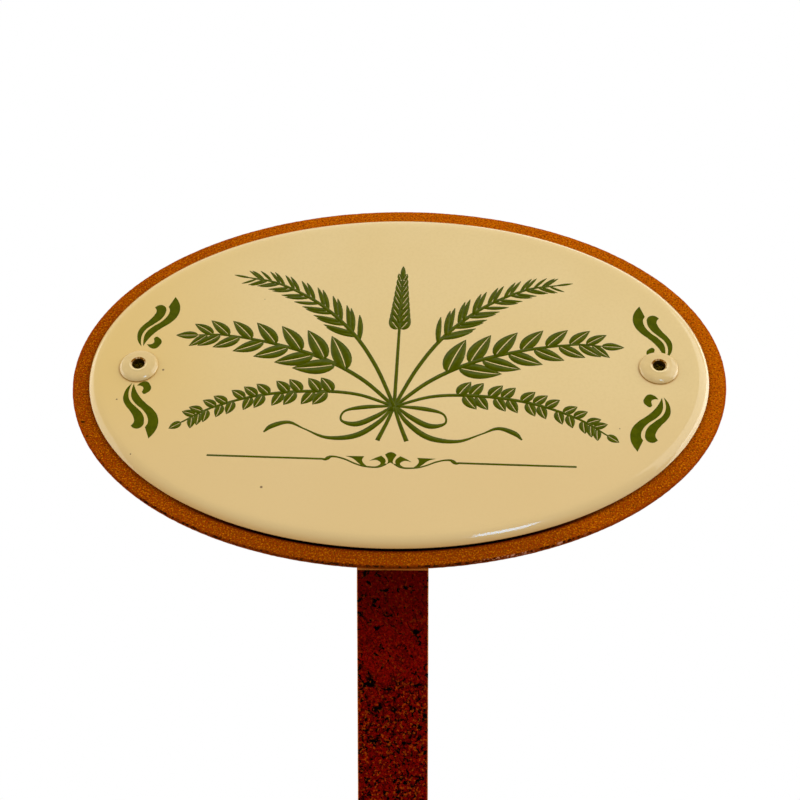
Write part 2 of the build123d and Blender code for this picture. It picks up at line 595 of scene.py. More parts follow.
# %% One bead
def make_bead():
    """One bead in the corner at the origin: out to the right, and back behind the plate."""
    size = bead_radius(0)
    bead = new_piece(
        bpy.ops.mesh.primitive_circle_add, "bead", vertices=bead_corners, radius=size,
        fill_type="NGON", rotation=(pi / 2, 0, 0),
    )
    bpy.ops.object.transform_apply(location=False, rotation=True, scale=False)
    start_edit()
    for normal in ((-1, 0, 0), (0, 0, 1)):
        bpy.ops.mesh.select_all(action="SELECT")
        bpy.ops.mesh.bisect(plane_co=(0, 0, 0), plane_no=normal, clear_outer=True)
    bpy.ops.mesh.select_all(action="SELECT")
    steps = round(bead_length / weld_pitch) * ripple_steps
    for step in range(1, steps + 1):
        raise_by((0, bead_length / steps, 0))
        along = bead_length * step / steps
        growth = bead_radius(along) / size
        bpy.ops.transform.resize(value=(growth, 1, growth), center_override=(0, along, 0))
        size = bead_radius(along)
    for corner in bmesh.from_edit_mesh(bead.data).verts:
        x, y, z = corner.co
        if bow_margin < y < bead_length - bow_margin and hypot(x, z) > bow_core:
            corner.co.y -= ripple_bow * min(x, -z) / max(x, -z)
    bmesh.update_edit_mesh(bead.data)
    end_edit()
    return bead


# %% [markdown]
# Each bead is a copy with its own mesh, moved to its corner. A bead on the left is a mirror image, and
# a mirrored shell is inside out until its faces are turned round.

# %% Four weld beads
first_bead = make_bead()
beads = {}
for row, start in weld_starts.items():
    for side_name, side in sides.items():
        bead = first_bead.copy()
        bead.data = first_bead.data.copy()
        bead.name = bead.data.name = f"weld_bead_{row}_{side_name}"
        scene.collection.objects.link(bead)
        corner = Matrix.Translation((side * bar_width / 2, start, 0))
        bead.data.transform(corner @ Matrix.Diagonal((side, 1, 1, 1)))
        if side < 0:
            bead.data.flip_normals()
        smooth(bead, 60)
        settle(bead)
        beads[row, side_name] = bead
bpy.data.objects.remove(first_bead)
print("weld", *spread("weld_lower_right"))

# %% [markdown]
# The green decoration is a second enamel, printed on the cream one and fired, so it stands a
# hundredth of a millimetre or two proud. It is made of two kinds of mark. A filled shape is a flat
# closed curve, which Blender fills by itself. A pen stroke that swells and thins is an open curve with
# a flat line swept along it, whose width follows each point's radius. Both become thin closed meshes.

# %% Filled shapes
print_thickness = 0.02
print_level = sign_face + print_thickness / 2
print_shift = (-0.2, -1.1)
print_turn = radians(-1.8)
print_frame = (
    plate_frame
    @ Matrix.Translation(Vector((*print_shift, print_level)) * MM)
    @ Matrix.Rotation(print_turn, 4, "Z")
)
scroll_frame = plate_frame @ Matrix.Translation(Vector((0, 0, print_level)) * MM)


def new_curve(name, dimensions):
    """An empty curve object, ready for its splines."""
    curve = new_piece(bpy.ops.curve.primitive_bezier_curve_add, name)
    curve.data.dimensions = dimensions
    curve.data.splines.clear()
    return curve


def to_print(curve):
    """Turns a flat curve into a thin closed mesh, and gives it back."""
    pick(curve)
    bpy.ops.object.convert(target="MESH")
    marks = bpy.context.object
    bpy.ops.object.mode_set(mode="EDIT")
    choose(marks, "faces", lambda face: face.normal.z < 0)
    bpy.ops.mesh.flip_normals()
    bpy.ops.object.mode_set(mode="OBJECT")
    modify(marks, "SOLIDIFY", thickness=print_thickness, offset=-1)
    return marks


def fill_shapes(name, shapes):
    """Closed smooth outlines, each with the numbers of its sharp tips, filled in."""
    curve = new_curve(name, "2D")
    curve.data.fill_mode = "BOTH"
    curve.data.resolution_u = 8
    for outline, tips in shapes:
        spline = curve.data.splines.new("BEZIER")
        spline.use_cyclic_u = True
        spline.bezier_points.add(len(outline) - 1)
        for number, (point, place) in enumerate(zip(spline.bezier_points, outline)):
            point.co = (*place, 0)
            point.handle_left_type = point.handle_right_type = "VECTOR" if number in tips else "AUTO"
    return to_print(curve)


# %% [markdown]
# A pen stroke needs more points than anyone likes to write, so a smooth line is run through a few.
# Strokes lie at slightly different levels, because two faces at one level would flicker.

# %% Pen strokes
def flow(points, steps=8):
    """A smooth line through points of (x, y, width), as many closer points."""
    places = [Vector(point) for point in points]
    places = [2 * places[0] - places[1]] + places + [2 * places[-1] - places[-2]]
    line = []
    for before, start, end, after in zip(places, places[1:], places[2:], places[3:]):
        for step in range(steps):
            t = step / steps
            pull = (end - before) * t + (2 * before - 5 * start + 4 * end - after) * t**2
            line.append(start + (pull + (3 * start - before - 3 * end + after) * t**3) / 2)
    return line + [places[-2]]


stroke_lift = 0.0015
stroke_levels = 8
finest_line = 0.04


def pen_strokes(name, strokes):
    """Lines of (x, y, width) drawn with a flat pen, at slightly different levels where they cross."""
    nib = new_curve(name + "_nib", "3D")
    edge = nib.data.splines.new("POLY")
    edge.points.add(1)
    edge.points[0].co, edge.points[1].co = (-1, 0, 0, 1), (1, 0, 0, 1)
    curve = new_curve(name, "3D")
    curve.data.twist_mode = "Z_UP"
    curve.data.bevel_mode = "OBJECT"
    curve.data.bevel_object = nib
    for number, line in enumerate(strokes):
        spline = curve.data.splines.new("POLY")
        spline.points.add(len(line) - 1)
        for step, (point, (x, y, width)) in enumerate(zip(spline.points, line)):
            point.co = (x, y, stroke_lift * (number % stroke_levels + step / len(line)), 1)
            point.radius = max(width, finest_line) / 2
    marks = to_print(curve)
    bpy.data.objects.remove(nib)
    return marks


def finish_print(name, *marks, place=print_frame):
    """Joins marks into one named piece on the sign's face."""
    pick(*marks)
    if len(marks) > 1:
        bpy.ops.object.join()
    joined = bpy.context.object
    joined.name = joined.data.name = name
    settle(joined, place)
    return joined


# %% [markdown]
# Two leaves and a curl grow from each rivet, above and below it: an acanthus scroll, as on countless
# old enamel signs. One scroll is drawn, for the upper left, and mirrored to the other three corners.
# Each was a transfer laid by hand, so each is shifted by up to 3 mm and turned by up to 6 degrees.

# %% Corner scrolls
outer_leaf = [
    (-63.2, 5.5), (-64.3, 7.0), (-64.8, 8.5), (-64.8, 10.5), (-64.0, 12.2), (-62.8, 13.8), (-61.7, 15.8),
    (-61.5, 17.0), (-62.1, 18.1), (-61.3, 18.8), (-60.3, 18.9), (-59.3, 18.1), (-59.1, 16.7), (-59.7, 14.7),
    (-61.3, 12.8), (-63.0, 11.0), (-63.7, 9.1), (-63.6, 7.0),
]
inner_leaf = [
    (-62.8, 5.7), (-62.1, 7.6), (-60.8, 9.8), (-59.2, 11.6), (-57.3, 13.4), (-56.0, 15.5), (-55.7, 18.0),
    (-56.3, 20.0), (-57.5, 21.8), (-58.7, 18.5), (-58.2, 17.4), (-58.5, 15.5), (-59.8, 13.5), (-61.7, 11.7),
    (-62.9, 9.8), (-63.1, 7.6),
]
curl = [
    (-62.0, 6.3), (-61.0, 6.4), (-60.4, 6.9), (-60.4, 7.6), (-60.6, 8.2), (-60.1, 8.8), (-59.2, 8.4),
    (-58.5, 7.4), (-58.8, 6.1), (-59.7, 5.1), (-61.0, 5.3),
]
scroll = [(outer_leaf, (0, 8)), (inner_leaf, (0, 8, 9)), (curl, (0, 4))]
scroll_root = Vector((-rivet_x, 5))
laid = {
    (1, 1): (0.15, 0.6, -3.2), (1, -1): (-0.6, 0.5, 0.9),
    (-1, 1): (1.7, -2.6, -1.7), (-1, -1): (0.1, -3.0, -6.0),
}
scrolls = []
for (across, up), (right, above, turn) in laid.items():
    for outline, tips in scroll:
        place = []
        for point in outline:
            from_root = Matrix.Diagonal((across, up)) @ (Vector(point) - scroll_root)
            turned = Matrix.Rotation(radians(turn), 2) @ from_root
            place.append(turned + Vector((across * scroll_root.x + right, up * scroll_root.y + above)))
        scrolls.append((place, tips))
corner_scrolls = finish_print("corner_scrolls", fill_shapes("scroll_shapes", scrolls), place=scroll_frame)

# %% [markdown]
# Under the picture runs a fine rule, broken in the middle by a small ornament. Its right half is
# drawn once, outwards from the middle, and mirrored.

# %% The rule and its ornament
rule_level = -26.0
rule_end = 42.7
rule_width = 0.52
bud = [
    (0, 2.5), (0.8, 2.2), (1.35, 1.7), (0.6, 0.2), (0.6, -0.4), (1.3, -1.2),
    (0, -0.45), (-1.3, -1.2), (-0.6, -0.4), (-0.6, 0.2), (-1.35, 1.7), (-0.8, 2.2),
]
comma = [
    (4.9, -0.15), (3.6, 0.7), (2.2, 1.4), (1.15, 0.2), (1.35, -0.9), (2.4, -1.65),
    (3.9, -1.85), (2.8, -1.35), (2.25, -0.7), (2.9, 0.0), (3.6, 0.15),
]
wedge = [(6.1, 1.1), (10.5, 1.0), (8.8, 0.4), (6.5, -1.45), (5.0, -1.8), (6.1, -0.9), (6.55, 0.1)]
swoop = [
    (0.9, -0.85, 0.4), (2.3, -1.6, 0.5), (3.9, -1.85, 0.45), (6.4, -1.6, 0.4), (8.4, -0.9, 0.4),
    (10.4, 0.05, 0.42), (12.4, 0.65, 0.45), (13.8, 0.7, 0.6), (14.5, 0.3, 0.95), (15.1, -0.1, 0.7),
    (15.8, 0, rule_width),
]
rule_shapes = [([(x, rule_level + y) for x, y in bud], (0, 2, 5, 6, 7, 10))]
rule_strokes = []
for across in (1, -1):
    rule_shapes.append(([(across * x, rule_level + y) for x, y in comma], (0, 2, 6)))
    rule_shapes.append(([(across * x, rule_level + y) for x, y in wedge], (0, 1, 4)))
    rule_strokes.append(flow([(across * x, rule_level + y, width) for x, y, width in swoop]))
    rule_strokes.append([(across * x, rule_level, rule_width) for x in (15.6, rule_end)])
rule_ornament = finish_print(
    "rule_ornament", fill_shapes("rule_shapes", rule_shapes), pen_strokes("rule_lines", rule_strokes),
)

# %% [markdown]
# The middle of the sign carries a tied bunch of herbs, drawn like calligraphy: stems that swell and
# thin, and leaves split by a fine rib. A sprig is a stem and a rule for its leaves, so the leaves are
# placed along the stem by a loop and shrink towards its tip. The left half is drawn and mirrored.

# %% Leaves and sprigs
leaf_steps = 10
leaf_tip = 0.02
needle_steps = 6


def leaf(base, direction, length, width, bend):
    """The two halves of a pointed leaf, as strokes either side of its rib."""
    along = Vector((cos(direction), sin(direction)))
    beside = Vector((-along.y, along.x))
    rib = 0.07 * width
    halves = []
    for side in (1, -1):
        line = []
        for step in range(leaf_steps + 1):
            share = step / leaf_steps
            half = width / 2 * sin(pi * share**0.75) ** 0.9 if 0 < step < leaf_steps else leaf_tip
            middle = base + along * length * share + beside * length * bend * share**2
            place = middle + beside * side * (rib / 2 * sin(pi * share) + half / 2)
            line.append((place.x, place.y, half))
        halves.append(line)
    return halves


def needle(base, direction, length, width, bend):
    """A narrow leaf, as one stroke."""
    along = Vector((cos(direction), sin(direction)))
    beside = Vector((-along.y, along.x))
    line = []
    for step in range(needle_steps + 1):
        share = step / needle_steps
        place = base + along * length * share + beside * length * bend * share**2
        line.append((place.x, place.y, width * sin(pi * (0.12 + 0.86 * share)) ** 0.7))
    return [line]


def sprig(stem, kind, pairs, first, last, length, width, spread_angle, shrink=0.5):
    """A stem with leaves on both sides, between two shares of its length, and one at its tip."""
    line = flow(stem)
    strokes = [line]
    for number in range(2 * pairs):
        share = first + (last - first) * number / (2 * pairs - 1)
        spot = round(share * (len(line) - 2))
        here, ahead = line[spot].xy, line[spot + 1].xy
        heading = (ahead - here).angle_signed(Vector((1, 0)))
        size = 1 - shrink * number / (2 * pairs - 1)
        side = 1 if number % 2 else -1
        strokes += kind(here, heading + side * spread_angle, length * size, width * size, -0.12 * side)
    tip = line[-1].xy
    heading = (tip - line[-2].xy).angle_signed(Vector((1, 0)))
    size = 1 - shrink
    return strokes + kind(tip, heading, length * size, width * size, 0)


def mirrored(strokes):
    """Strokes and their mirror images."""
    return strokes + [[(-x, y, width) for x, y, width in line] for line in strokes]


# %% [markdown]
# Three herbs fan out to each side: broad sage leaves in the middle, rosemary needles above and small
# thyme leaves below, round an upright head of lavender. A bow ties them, and the cut stems show
# under it.

# %% The bunch of herbs
tie = (0.0, -10.5)
sage_stem = [
    (*tie, 0.9), (-8.5, -2.5, 1.1), (-19.0, 3.6, 1.1), (-31.5, 7.6, 0.9), (-43.0, 9.6, 0.6),
    (-49.5, 9.4, 0.35),
]
rosemary_stem = [
    (*tie, 0.9), (-5.2, 1.5, 1.0), (-11.5, 11.5, 1.0), (-20.5, 20.5, 0.9), (-31.0, 26.6, 0.7),
    (-39.0, 28.4, 0.4),
]
thyme_stem = [
    (*tie, 0.8), (-9.5, -7.2, 0.9), (-21.0, -6.8, 0.9), (-33.0, -8.6, 0.8), (-43.5, -12.6, 0.6),
    (-50.0, -17.0, 0.4),
]
bow_loop = [
    (-0.6, -10.6, 0.5), (-4.2, -13.6, 1.3), (-8.6, -15.9, 1.5), (-12.2, -15.0, 0.6), (-11.6, -12.3, 0.6),
    (-7.2, -11.0, 1.2), (-0.6, -10.4, 0.6),
]
bow_tail = [
    (-0.4, -10.8, 0.5), (-3.4, -15.2, 1.2), (-8.6, -19.2, 1.5), (-15.2, -20.0, 0.9), (-20.6, -17.8, 0.4),
    (-24.6, -16.0, 0.9), (-28.4, -17.2, 1.3), (-30.2, -19.0, 0.4),
]
cut_stem = [(*tie, 0.8), (-1.4, -15.0, 0.9), (-3.4, -20.4, 1.1)]
lavender_stem = [(*tie, 0.9), (0.0, 4.0, 0.8), (0.0, 31.0, 0.5)]
half_bunch = sprig(sage_stem, leaf, 7, 0.27, 0.95, 11.0, 4.4, radians(43))
half_bunch += sprig(rosemary_stem, needle, 16, 0.36, 0.97, 8.0, 1.4, radians(40))
half_bunch += sprig(thyme_stem, leaf, 11, 0.30, 0.96, 5.0, 2.9, radians(60), 0.35)
half_bunch += [flow(bow_loop), flow(bow_tail), flow(cut_stem)]
bud_rows = 9
for row in range(bud_rows):
    share = row / (bud_rows - 1)
    base = Vector((-0.3, 13.0 + 16.0 * share))
    half_bunch += leaf(base, radians(128 - 12 * share), 4.2 - 2.0 * share, 2.4 - 1.1 * share, -0.1)
bunch = mirrored(half_bunch) + [flow(lavender_stem), [(-1.5, -10.6, 2.6), (1.5, -10.6, 2.6)]]
bunch += needle(Vector((0, 29.5)), radians(90), 4.0, 1.3, 0)
herb_bunch = finish_print("herb_bunch", pen_strokes("bunch_strokes", bunch))
print("bunch drawn with", len(bunch), "strokes")

# %% [markdown]
# Every finish below is a network of shader nodes. Writing it as sums reads better than wiring it, so
# a small class wraps a socket and lets Python's operators add the Math nodes. One method adds any
# other node: its type, its settings, then the values or links of its sockets.

# %% Sums of shader nodes
class Signal:
    """A value that varies over a surface; a sum on it adds a Math node."""

    def __init__(self, finish, socket):
        self.finish = finish
        self.socket = socket

    def math(self, operation, *values):
        return self.finish.add("ShaderNodeMath", {"operation": operation}, dict(enumerate(values)))

    def __add__(self, other):
        return self.math("ADD", self, other)

    def __sub__(self, other):
        return self.math("SUBTRACT", self, other)

    def __rsub__(self, other):
        return self.math("SUBTRACT", other, self)

    def __mul__(self, other):
        return self.math("MULTIPLY", self, other)

    def __truediv__(self, other):
        return self.math("DIVIDE", self, other)

    def __pow__(self, other):
        return self.math("POWER", self, other)

    __radd__ = __add__
    __rmul__ = __mul__

    def size(self):
        """The value without its sign."""
        return self.math("ABSOLUTE", self)

    def larger(self, other):
        """The larger of two values."""
        return self.math("MAXIMUM", self, other)

    def rises(self, start, end):
        """From 0 to 1, smoothly, as the value goes from start to end."""
        sockets = {"Value": self, "From Min": start, "From Max": end}
        return self.finish.add("ShaderNodeMapRange", {"interpolation_type": "SMOOTHSTEP"}, sockets)


# %% [markdown]
# A finish is a material and its nodes. Beside the one general method it has a short one for each step
# that the pieces share: a place in millimetres, noise, cells, coats of colour, relief and the shader.

# %% Building a finish
class Finish:
    """A node tree and its material, built up node by node."""

    def __init__(self, name, tree=None):
        if tree is None:
            self.material = bpy.data.materials.new(name)
            self.material.use_nodes = True
            tree = self.material.node_tree
        tree.nodes.clear()
        self.tree = tree

    def add(self, kind, settings=None, sockets=None, output=0):
        node = self.tree.nodes.new(kind)
        for key, value in (settings or {}).items():
            setattr(node, key, value)
        for key, value in (sockets or {}).items():
            if isinstance(value, Signal):
                self.tree.links.new(value.socket, node.inputs[key])
            else:
                node.inputs[key].default_value = value
        return Signal(self, node.outputs[output]) if node.outputs else None

    def place(self, origin=plate_origin, turn=lean):
        """The point on the surface, in millimetres in a frame turned back by an angle."""
        point = self.add("ShaderNodeTexCoord", output="Object")
        sockets = {"Vector": point, "Location": origin, "Rotation": (turn, 0, 0), "Scale": (MM, MM, MM)}
        return self.add("ShaderNodeMapping", {"vector_type": "TEXTURE"}, sockets)

    def axes(self, place):
        """The three coordinates of a place, each as a value."""
        return [self.add("ShaderNodeSeparateXYZ", sockets={0: place}, output=axis) for axis in range(3)]

    def noise(self, place, size, detail=3.0, rough=0.5, distortion=0.0):
        """Cloudy noise about 0.5, whose patches have a size in millimetres."""
        sockets = {"Vector": place, "Scale": 1 / size, "Detail": detail, "Roughness": rough}
        sockets["Distortion"] = distortion
        return self.add("ShaderNodeTexNoise", sockets=sockets)

    def cells(self, place, size):
        """The distance to the nearest of many scattered points, in cells of a size."""
        sockets = {"Vector": place, "Scale": 1 / size}
        return self.add("ShaderNodeTexVoronoi", sockets=sockets, output="Distance")

    def mix(self, factor, under, over):
        """A colour between two."""
        return self.add("ShaderNodeMix", {"data_type": "RGBA"}, {0: factor, 6: under, 7: over}, output=2)

    def lay(self, ground, *coats):
        """A colour with others laid over it in turn, each as (how much, red, green, blue)."""
        for share, *shade in coats:
            ground = self.mix(share, ground, paint(*shade))
        return ground

    def bump(self, height, distance):
        """A fine relief whose full height is a distance in millimetres."""
        sockets = {"Height": height, "Distance": distance * MM, "Strength": 1.0}
        return self.add("ShaderNodeBump", sockets=sockets)

    def surface(self, **sockets):
        """Puts a Principled shader with these sockets on the surface."""
        named = {key.replace("_", " "): value for key, value in sockets.items()}
        shader = self.add("ShaderNodeBsdfPrincipled", sockets=named)
        self.add("ShaderNodeOutputMaterial", sockets={"Surface": shader})
        return self.material


# %% [markdown]
# Three sums serve more than one finish: a distance from a middle, the side of a rivet that takes
# painted shadow, and whether a ray belongs to something that looks or only carries light.

# %% Shared sums
def reach(across, up):
    """How far a place is from a middle, by its distances across and up."""
    return (across**2 + up**2) ** 0.5


def shade_side(beside, up):
    """More towards the lower left of a rivet, the side away from the light, where painted shadow goes."""
    return (up + beside * 0.5).rises(2.5, -4.0)


def seen_directly(finish):
    """1 for what camera, mirror or glass sees, and 0 for rays that only carry light."""
    seen = finish.add("ShaderNodeLightPath", output="Is Camera Ray")
    for way in ("Is Glossy Ray", "Is Transmission Ray"):
        seen = seen.larger(finish.add("ShaderNodeLightPath", output=way))
    return seen


# %% [markdown]
# Vitreous enamel is glass melted onto steel: an even cream body under a hard gloss, with a faint
# orange peel and a few pinholes where gas escaped. The gloss comes from low roughness on the base,
# and peel and pinholes from a bump. Four pinholes sit where the photographed sign has its largest.
# The cream is painted a little darker to the left, towards the foot and low on the rim, as painted
# shade, and round each rivet lies a brown ring that is grime all round and painted shadow on its
# lower left.

# %% Cream enamel
pinhole_places = ((-30.3, -34.4, 0.4), (-56.8, -1.0, 0.36), (-66.9, -9.9, 0.28), (-61.5, -25.5, 0.22))


def make_cream():
    """The fired cream glass of the sign's front."""
    finish = Finish("cream_enamel")
    place = finish.place()
    across, up, out = finish.axes(place)
    pinholes = finish.cells(place, 13).rises(0.016, 0.008)
    for x, y, size in pinhole_places:
        pinholes = pinholes.larger(reach(across - x, up - y).rises(size, 0.5 * size))
    rolled = out.rises(sign_face - 0.1, sign_face - 1.6)
    cloud = finish.noise(place, 35, 2).rises(0.35, 0.65)
    cream = finish.lay(
        finish.mix(cloud, paint(226, 197, 134), paint(228, 200, 139)),
        (finish.noise(place, 0.7, 2).rises(0.4, 0.7) * 0.2, 216, 186, 124),
        # Painted shade: darker to the left, towards the foot and low on the rim.
        (across.rises(-20, -76) * 0.9, 224, 189, 112),
        (up.rises(2, -34) * 0.7, 222, 189, 128),
        ((up + across * 0.1).rises(-28, -45) * rolled * 0.85, 214, 164, 84),
    )
    # Round each rivet a brown ring: grime all round, and painted shadow on its lower left.
    for side in sides.values():
        beside = across - side * rivet_x
        foot = reach(beside, up).rises(head_radius + 0.5, head_radius - 0.1)
        cream = finish.lay(cream, (foot * (0.15 + shade_side(beside, up) * 0.7), 176, 122, 34))
    cream = finish.lay(cream, (pinholes * 0.85, 90, 62, 30))
    relief = finish.bump(finish.noise(place, 4.0, 1) - pinholes * 0.5, 0.012)
    roughness = 0.05 + finish.noise(place, 12, 2) * 0.04
    return finish.surface(Base_Color=cream, Roughness=roughness, Normal=relief, Specular_IOR_Level=0.4)


cream_enamel = make_cream()

# %% [markdown]
# The inside of the sign and its cut edge carry only the ground coat, the thin blue-black enamel that
# bonds to the steel first. It faces the plate, so it gets its own speckled, glossy finish.

# %% Ground coat
def make_ground_coat():
    """The dark first enamel inside the sign."""
    finish = Finish("ground_coat")
    place = finish.place()
    speckle = finish.cells(place, 1.4).rises(0.35, 0.1)
    dark = finish.mix(finish.noise(place, 8, 4), paint(30, 32, 40), paint(48, 50, 58))
    dark = finish.lay(dark, (speckle * 0.5, 86, 88, 92))
    relief = finish.bump(finish.noise(place, 1.8, 2), 0.03)
    return finish.surface(Base_Color=dark, Roughness=0.18 + speckle * 0.2, Normal=relief)


ground_coat = make_ground_coat()

# %% [markdown]
# The printed green is an olive enamel, a little less glossy than the cream. Its layer is uneven,
# which the colour follows in a soft mottle.

# %% Green enamel
def make_green():
    """The fired green print."""
    finish = Finish("green_enamel")
    place = finish.place()
    mottle = finish.noise(place, 1.6, 3, 0.6).rises(0.35, 0.65)
    green = finish.mix(mottle, paint(68, 76, 0), paint(78, 84, 0))
    relief = finish.bump(finish.noise(place, 1.2, 2), 0.01)
    return finish.surface(
        Base_Color=green, Roughness=0.2, Normal=relief, Specular_IOR_Level=0.12,
        Specular_Tint=paint(190, 190, 60),
    )


green_enamel = make_green()

# %% [markdown]
# The plate has a set, even rust, as on steel that has weathered outdoors: a warm orange-brown ground
# crowded with half-millimetre grains that are lighter, redder or almost black. Two noises of grain
# size pick the colours, a larger one drifts the tone, and the same grains make the relief. Into that
# drift goes painted light and shade: lighter to the upper right, darker to the lower left. The lower
# arris is painted darker as painted shade, most near the bar, dotted black, and rubbed pale on the
# right. Painted shade darkens the bottom of the plate except at the right, and a painted shadow
# follows the sign's rim: a dark red band, with a black line low down. Rust hardly reflects, so the
# specular level is low.

# %% Rusted plate
chip_places = ((-74.7, -15.0, 0.7), (-73.1, -19.1, 0.6))


def rust_grains(finish, place, size):
    """Two independent fields of grains, from 0 to 1."""
    one = finish.noise(place, size, 3, 0.65)
    shifted = finish.add("ShaderNodeVectorMath", {"operation": "ADD"}, {0: place, 1: (37, 11, 23)})
    return one, finish.noise(shifted, size * 1.3, 3, 0.65)


def make_plate_rust():
    """Even orange rust with fine grains and a redder outer edge."""
    finish = Finish("plate_rust")
    place = finish.place()
    across, up, out = finish.axes(place)
    plate_reach = reach(across / (sign_length / 2 + plate_margin), up / (sign_height / 2 + plate_margin))
    sign_reach = reach(2 * across / sign_length, 2 * up / sign_height)
    front = out.rises(0.5, 0.9)
    light_grain, dark_grain = rust_grains(finish, place, 0.38)
    chips = finish.noise(place, 0.9, 3, 0.6)
    # The tone drifts at random, and rises to the upper right as painted light and shade.
    tone_and_light = finish.noise(place, 14, 3) * 0.6 + (across / 400 + up / 250)
    edge = plate_reach.rises(0.990, 0.994)
    under = up.rises(-14, -36)
    arris = edge * out.rises(0.62, 0.78)
    # The lower arris, away from the right; it is painted darker as painted shade and dotted black.
    low_arris = arris * under * (1 - across.rises(38, 50) * 0.8)
    near_bar = across.size().rises(26, 12)
    handled = across.rises(10, 24) * across.rises(46, 38)
    lightened = finish.noise(place, 6, 2).rises(0.48, 0.56) * chips.rises(0.50, 0.44) * handled
    pits = finish.cells(place, 7).rises(0.035, 0.02)
    for x, y, size in chip_places:
        distance = ((across - x) ** 2 + ((up - y) * 1.6) ** 2 + chips * 0.2) ** 0.5
        pits = pits.larger(distance.rises(size, 0.6 * size))
    shaded = up.rises(-33, -47)
    rust = finish.lay(
        finish.mix(tone_and_light.rises(0.1, 0.6), paint(147, 62, 0), paint(190, 92, 0)),
        (light_grain.rises(0.50, 0.66) * 0.9, 224, 128, 0),
        (dark_grain.rises(0.50, 0.62) * 0.85, 104, 48, 0),
        (light_grain.rises(0.47, 0.38) * 0.5, 176, 46, 0),
        (plate_reach.rises(0.990, 0.998) * front * 0.6, 160, 52, 0),
        (edge * out.rises(0.95, 0.75), 168, 74, 8),
        # Painted shade on the lower arris, deeper near the bar, and black dots there.
        (low_arris * (0.4 + chips.rises(0.45, 0.6) * 0.5), 60, 8, 0),
        (edge * under * near_bar * 0.2, 76, 18, 0),
        (low_arris * (chips + near_bar * 0.06).rises(0.56, 0.6), 14, 4, 2),
        (arris * under * lightened * 0.8, 206, 146, 112),
        # Painted shade along the bottom of the plate, except at the right.
        (up.rises(-36, -52) * across.rises(52, 30) * 0.25, 104, 44, 0),
        (pits * 0.9, 16, 4, 0),
        # Painted shadow round the sign's rim: a dark red band, and a black line low down.
        (sign_reach.rises(1.016, 1.004) * front * (0.15 + shaded * 0.6), 96, 14, 0),
        (sign_reach.rises(1.006, 1.002) * front * shaded, 6, 1, 0),
    )
    relief = finish.bump(light_grain - dark_grain, 0.12)
    roughness = 0.78 + dark_grain * 0.2
    return finish.surface(Base_Color=rust, Roughness=roughness, Normal=relief, Specular_IOR_Level=0.01)


plate_rust = make_plate_rust()

# %% [markdown]
# The bar's rust is older and darker: a deep red-brown, pitted black in irregular patches that grow
# denser towards the ground, with stray orange grains. Patches come from one noise that a second,
# larger one gates. The top of the bar, under the plate, is painted darker as painted shade. The
# arrises are lightened, partly as wear and partly as a painted highlight, and a painted highlight
# lies on the bend just under the plate. An arris is what lies far from both middle planes of the bar,
# and one of these planes leans back with the leg behind the plate.

# %% Rusted bar
def make_bar_rust():
    """Dark red rust with black pits and orange grains, painted shade under the plate, arrises lightened by
    wear and a painted highlight, and a painted highlight on the bend.
    """
    finish = Finish("bar_rust")
    place = finish.place((0, 0, 0), turn=0)
    across, back, up = finish.axes(place)
    grain, other_grain = rust_grains(finish, place, 0.5)
    blotch = finish.noise(place, 1.5, 3, 0.55, 0.6)
    specks = finish.noise(place, 0.8, 3, 0.6, 0.4)
    patches = finish.noise(place, 7, 2)
    lower = (up + patches * 40).rises(bend_start + 3, bend_start - 13)
    pits = blotch.rises(0.42, 0.39) * (patches - 0.06 * (1 - lower)).rises(0.38, 0.46)
    low_pits = (specks + 0.04 * patches.rises(0.46, 0.6)).rises(0.485, 0.435) * lower
    border = lower.rises(0.02, 0.4) * lower.rises(1.0, 0.7) * across.rises(7, -3)
    low_pits = low_pits.larger(border * blotch.rises(0.51, 0.47))
    pits = pits.larger(low_pits).larger(specks.rises(0.38, 0.34))
    over = up.rises(bend_start, bend_start + 1.2)
    leg_depth = (back - bend_radius) * cos(lean) - (up - bend_start) * sin(lean) + bend_radius
    depth = back * (1 - over) + leg_depth * over
    arris = across.size().rises(bar_width / 2 - 0.28, bar_width / 2 - 0.1)
    arris = arris * depth.size().rises(bar_thickness / 2 - 0.5, bar_thickness / 2 - 0.3)
    bend = up.rises(bend_start - 0.1, bend_start + 0.1) * up.rises(bend_start + 0.6, bend_start + 0.4)
    # Arrises lightened partly as wear and partly as a painted highlight; the bend as a painted highlight.
    lightened = (arris * blotch.rises(0.3, 0.45)).larger(bend * back.rises(0.3, 0))
    slant = {"Vector": place, "Rotation": (0, radians(-25), 0), "Scale": (0.5, 1, 3.4)}
    slanted = finish.add("ShaderNodeMapping", {"vector_type": "TEXTURE"}, slant)
    scratches = finish.noise(slanted, 1.0, 2).rises(0.56, 0.64) * (1 - lower)
    scratches = scratches * finish.noise(place, 8, 1).rises(0.46, 0.56)
    flecks = finish.noise(place, 0.6, 2).rises(0.56, 0.70)
    rust = finish.lay(
        finish.mix(grain.rises(0.40, 0.60), paint(92, 0, 0), paint(136, 10, 0)),
        (other_grain.rises(0.5, 0.62) * 0.7, 60, 0, 0),
        # Painted shade at the top of the bar, under the plate.
        (up.rises(bend_start - 22, bend_start - 4) * 0.6, 58, 0, 0),
        (scratches * 0.7, 26, 0, 0),
        (pits, 2, 0, 0),
        (flecks * (0.15 + 0.5 * lower), 188, 76, 0),
        (lightened * 0.9, 222, 130, 50),
    )
    relief = finish.bump(grain - pits * 0.8, 0.12)
    roughness = 0.85 - pits * 0.15
    return finish.surface(Base_Color=rust, Roughness=roughness, Normal=relief, Specular_IOR_Level=0.01)


bar_rust = make_bar_rust()
